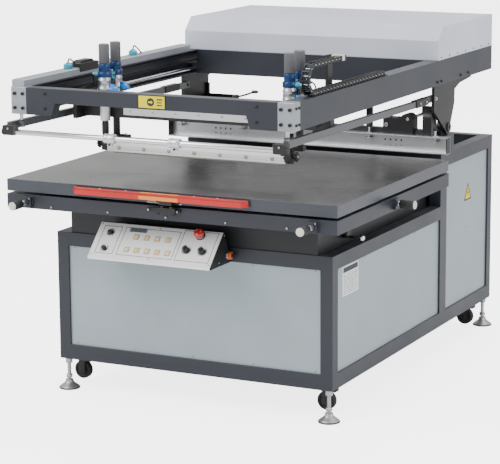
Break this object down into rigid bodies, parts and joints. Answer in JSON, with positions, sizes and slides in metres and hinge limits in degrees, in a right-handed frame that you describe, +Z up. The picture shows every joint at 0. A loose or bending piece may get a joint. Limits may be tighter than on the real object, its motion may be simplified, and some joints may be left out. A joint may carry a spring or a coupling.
{
  "type": "flat-bed screen printing machine",
  "caption": "Free-standing flat-bed screen printer: vacuum table, obliquely lifting print head with squeegee carriage, drag chain, sloping control console and hooded drive.",
  "frame": {"origin": "on the floor, at the middle of the machine in X and Y", "axes": "+X to the right of an operator facing the machine, +Y from the operator towards the hooded rear, +Z up"},
  "size_m": [1.57, 2.1343, 1.394],
  "materials": {
    "frame_paint": "satin dark slate enamel",
    "black_paint": "satin black",
    "zinc_sheet": "brushed zinc-coated sheet",
    "table_steel": "ground dark steel",
    "plate_paint": "satin charcoal",
    "hood_paint": "light grey enamel",
    "red_paint": "gloss red",
    "polished_steel": "polished",
    "machined_steel": "machined",
    "cast_motor": "cast, painted grey",
    "bare_aluminium": "satin",
    "cylinder_blue": "blue anodised",
    "white_enamel": "semi-gloss",
    "grey_plastic": "ribbed",
    "black_plastic": "moulded",
    "red_plastic": "gloss",
    "blade_rubber": "cut polyurethane",
    "belt_rubber": "moulded",
    "wheel_rubber": "moulded",
    "hose_rubber": "reinforced"
  },
  "bodies": {
    "base": {"base_frame": "frame_paint", "pedestal": "plate_paint", "cabinet_panels": "zinc_sheet", "bearing_blocks": "black_paint", "lower_plate": "plate_paint", "console_housing": "white_enamel", "console_face": "white_enamel", "vacuum_blower": "cast_motor", "vacuum_hose": "hose_rubber", "lift_actuator": "cast_motor", "electrical_box": "white_enamel"},
    "feet": {"levelling_feet": "black_paint"},
    "cross_slide": {"cross_slide": "machined_steel"},
    "table": {"vacuum_table": "table_steel"},
    "safety_bar": {"safety_bar": "red_paint"},
    "lock_lever": {"table_lock_lever": "black_plastic"},
    "head": {"side_rails": "frame_paint", "front_beam": "frame_paint", "corner_blocks": "frame_paint", "cross_beams": "frame_paint", "hood": "hood_paint", "swing_arms": "frame_paint", "guide_rods": "polished_steel", "carriage_motor": "cast_motor", "drive_belts": "belt_rubber", "drag_chain": "black_plastic"},
    "drive_shaft": {"drive_shaft": "machined_steel"},
    "carriage": {"carriage_beam": "black_paint", "air_cylinders": "cylinder_blue"},
    "carriage_lever": {"carriage_lever": "black_paint"},
    "squeegee": {"squeegee_holder": "bare_aluminium", "squeegee_blade": "blade_rubber"},
    "flood": {"flood_bar": "machined_steel"},
    "carrier": {"frame_side_bars": "frame_paint", "front_tube": "polished_steel"},
    "rear_clamp": {"clamp_channel": "bare_aluminium", "clamp_beam": "black_paint"},
    "clamp_screws": {"clamp_screws": "machined_steel"},
    "lift_ram": {"lift_ram": "polished_steel"},
    "estop_button": {"estop_button": "red_plastic"},
    "mode_selector": {"mode_selector": "black_plastic"},
    "power_selector": {"power_selector": "black_plastic"},
    "print_speed_dial": {"print_speed_dial": "black_plastic"},
    "flood_speed_dial": {"flood_speed_dial": "black_plastic"},
    "table_knob_front_left": {"table_knob_front_left": "grey_plastic"},
    "table_knob_front_right": {"table_knob_front_right": "grey_plastic"},
    "table_knob_side_left": {"table_knob_side_left": "grey_plastic"},
    "table_knob_side_right": {"table_knob_side_right": "grey_plastic"},
    "squeegee_stroke_knob_left": {"squeegee_stroke_knob_left": "grey_plastic"},
    "squeegee_stroke_knob_right": {"squeegee_stroke_knob_right": "grey_plastic"},
    "flood_stroke_knob_left": {"flood_stroke_knob_left": "grey_plastic"},
    "flood_stroke_knob_right": {"flood_stroke_knob_right": "grey_plastic"},
    "caster_front_left": {"caster_fork_front_left": "machined_steel"},
    "wheel_front_left": {"caster_wheel_front_left": "wheel_rubber"},
    "caster_front_right": {"caster_fork_front_right": "machined_steel"},
    "wheel_front_right": {"caster_wheel_front_right": "wheel_rubber"},
    "caster_rear_left": {"caster_fork_rear_left": "machined_steel"},
    "wheel_rear_left": {"caster_wheel_rear_left": "wheel_rubber"},
    "caster_rear_right": {"caster_fork_rear_right": "machined_steel"},
    "wheel_rear_right": {"caster_wheel_rear_right": "wheel_rubber"}
  },
  "joints": [
    {"name": "feet_extend", "type": "slide", "parent": "base", "child": "feet", "axis": [0, 0, -1], "range_m": [0, 0.03]},
    {"name": "caster_swivel_front_left", "type": "hinge", "parent": "base", "child": "caster_front_left", "pos_m": [-0.54, -0.55825, 0.121], "axis": [0, 0, 1], "continuous": true},
    {"name": "wheel_spin_front_left", "type": "hinge", "parent": "caster_front_left", "child": "wheel_front_left", "pos_m": [-0.56, -0.55825, 0.0555], "axis": [0, 1, 0], "continuous": true},
    {"name": "caster_swivel_front_right", "type": "hinge", "parent": "base", "child": "caster_front_right", "pos_m": [0.54, -0.55825, 0.121], "axis": [0, 0, 1], "continuous": true},
    {"name": "wheel_spin_front_right", "type": "hinge", "parent": "caster_front_right", "child": "wheel_front_right", "pos_m": [0.52, -0.55825, 0.0555], "axis": [0, 1, 0], "continuous": true},
    {"name": "caster_swivel_rear_left", "type": "hinge", "parent": "base", "child": "caster_rear_left", "pos_m": [-0.54, 0.94175, 0.121], "axis": [0, 0, 1], "continuous": true},
    {"name": "wheel_spin_rear_left", "type": "hinge", "parent": "caster_rear_left", "child": "wheel_rear_left", "pos_m": [-0.56, 0.94175, 0.0555], "axis": [0, 1, 0], "continuous": true},
    {"name": "caster_swivel_rear_right", "type": "hinge", "parent": "base", "child": "caster_rear_right", "pos_m": [0.54, 0.94175, 0.121], "axis": [0, 0, 1], "continuous": true},
    {"name": "wheel_spin_rear_right", "type": "hinge", "parent": "caster_rear_right", "child": "wheel_rear_right", "pos_m": [0.52, 0.94175, 0.0555], "axis": [0, 1, 0], "continuous": true},
    {"name": "table_shift_y", "type": "slide", "parent": "base", "child": "cross_slide", "axis": [0, 1, 0], "range_m": [-0.01, 0.01]},
    {"name": "table_shift_x", "type": "slide", "parent": "cross_slide", "child": "table", "axis": [1, 0, 0], "range_m": [-0.01, 0.01]},
    {"name": "front_knob_turn_left", "type": "hinge", "parent": "base", "child": "table_knob_front_left", "pos_m": [-0.605, -0.92825, 0.79475], "axis": [0, 1, 0], "continuous": true},
    {"name": "side_knob_turn_left", "type": "hinge", "parent": "base", "child": "table_knob_side_left", "pos_m": [-0.74, -0.32825, 0.79475], "axis": [1, 0, 0], "continuous": true},
    {"name": "front_knob_turn_right", "type": "hinge", "parent": "base", "child": "table_knob_front_right", "pos_m": [0.605, -0.92825, 0.79475], "axis": [0, 1, 0], "continuous": true},
    {"name": "side_knob_turn_right", "type": "hinge", "parent": "base", "child": "table_knob_side_right", "pos_m": [0.74, -0.32825, 0.79475], "axis": [1, 0, 0], "continuous": true},
    {"name": "bump_bar_push", "type": "slide", "parent": "table", "child": "safety_bar", "axis": [0, 1, 0], "range_m": [0, 0.008], "stiffness_N_per_m": 900},
    {"name": "table_lock_turn", "type": "hinge", "parent": "base", "child": "lock_lever", "pos_m": [0.545, -0.43825, 0.686], "axis": [1, 0, 0], "range_deg": [0, 60]},
    {"name": "head_lift", "type": "hinge", "parent": "base", "child": "head", "pos_m": [0, 0.52175, 0.967], "axis": [-1, 0, 0], "range_deg": [0, 25]},
    {"name": "ram_travel", "type": "slide", "parent": "base", "child": "lift_ram", "axis": [0, 0, -1], "range_m": [0, 0.205]},
    {"name": "carriage_travel", "type": "slide", "parent": "head", "child": "carriage", "axis": [0, 1, 0], "range_m": [-0.1, 0.85], "deforming": ["drag_chain"]},
    {"name": "drive_shaft_turn", "type": "hinge", "parent": "head", "child": "drive_shaft", "pos_m": [0, 0.52175, 1.225], "axis": [1, 0, 0], "continuous": true},
    {"name": "squeegee_drop", "type": "slide", "parent": "carriage", "child": "squeegee", "axis": [0, 0, -1], "range_m": [0, 0.05]},
    {"name": "flood_drop", "type": "slide", "parent": "carriage", "child": "flood", "axis": [0, 0, -1], "range_m": [0, 0.05]},
    {"name": "squeegee_stroke_turn_left", "type": "hinge", "parent": "carriage", "child": "squeegee_stroke_knob_left", "pos_m": [-0.397, -0.62425, 1.35], "axis": [0, 0, 1], "continuous": true},
    {"name": "squeegee_stroke_turn_right", "type": "hinge", "parent": "carriage", "child": "squeegee_stroke_knob_right", "pos_m": [0.397, -0.62425, 1.35], "axis": [0, 0, 1], "continuous": true},
    {"name": "flood_stroke_turn_left", "type": "hinge", "parent": "carriage", "child": "flood_stroke_knob_left", "pos_m": [-0.397, -0.53725, 1.35], "axis": [0, 0, 1], "continuous": true},
    {"name": "flood_stroke_turn_right", "type": "hinge", "parent": "carriage", "child": "flood_stroke_knob_right", "pos_m": [0.397, -0.53725, 1.35], "axis": [0, 0, 1], "continuous": true},
    {"name": "carriage_lever_turn", "type": "hinge", "parent": "carriage", "child": "carriage_lever", "pos_m": [0.15, -0.57825, 1.2], "axis": [0, 0, 1], "range_deg": [0, 90]},
    {"name": "carrier_peel", "type": "hinge", "parent": "head", "child": "carrier", "pos_m": [0, 0.37175, 1.104], "axis": [-1, 0, 0], "range_deg": [0, 0.9]},
    {"name": "clamp_reach", "type": "slide", "parent": "head", "child": "rear_clamp", "axis": [0, 1, 0], "range_m": [0, 0.03]},
    {"name": "clamp_screw_down", "type": "slide", "parent": "rear_clamp", "child": "clamp_screws", "axis": [0, 0, -1], "range_m": [0, 0.02]},
    {"name": "estop_push", "type": "slide", "parent": "base", "child": "estop_button", "axis": [0, 0.7071, -0.7071], "range_m": [0, 0.006], "stiffness_N_per_m": 500},
    {"name": "mode_selector_turn", "type": "hinge", "parent": "base", "child": "mode_selector", "pos_m": [0.052, -0.80925, 0.647], "axis": [0, -0.7071, 0.7071], "range_deg": [-45, 45]},
    {"name": "power_selector_turn", "type": "hinge", "parent": "base", "child": "power_selector", "pos_m": [0.119, -0.80925, 0.647], "axis": [0, -0.7071, 0.7071], "range_deg": [-45, 45]},
    {"name": "print_speed_dial_turn", "type": "hinge", "parent": "base", "child": "print_speed_dial", "pos_m": [-0.294, -0.77525, 0.681], "axis": [0, -0.7071, 0.7071], "range_deg": [-135, 135]},
    {"name": "flood_speed_dial_turn", "type": "hinge", "parent": "base", "child": "flood_speed_dial", "pos_m": [-0.294, -0.82725, 0.629], "axis": [0, -0.7071, 0.7071], "range_deg": [-135, 135]}
  ],
  "couplings": [
    {"joint": "front_knob_turn_left", "follows": "table_shift_y", "rad_per_m": 1570.8},
    {"joint": "side_knob_turn_left", "follows": "table_shift_x", "rad_per_m": 1570.8},
    {"joint": "front_knob_turn_right", "follows": "table_shift_y", "rad_per_m": 1570.8},
    {"joint": "side_knob_turn_right", "follows": "table_shift_x", "rad_per_m": 1570.8},
    {"joint": "ram_travel", "follows": "head_lift", "m_per_rad": 0.45795},
    {"joint": "drive_shaft_turn", "follows": "carriage_travel", "rad_per_m": -62.5}
  ]
}
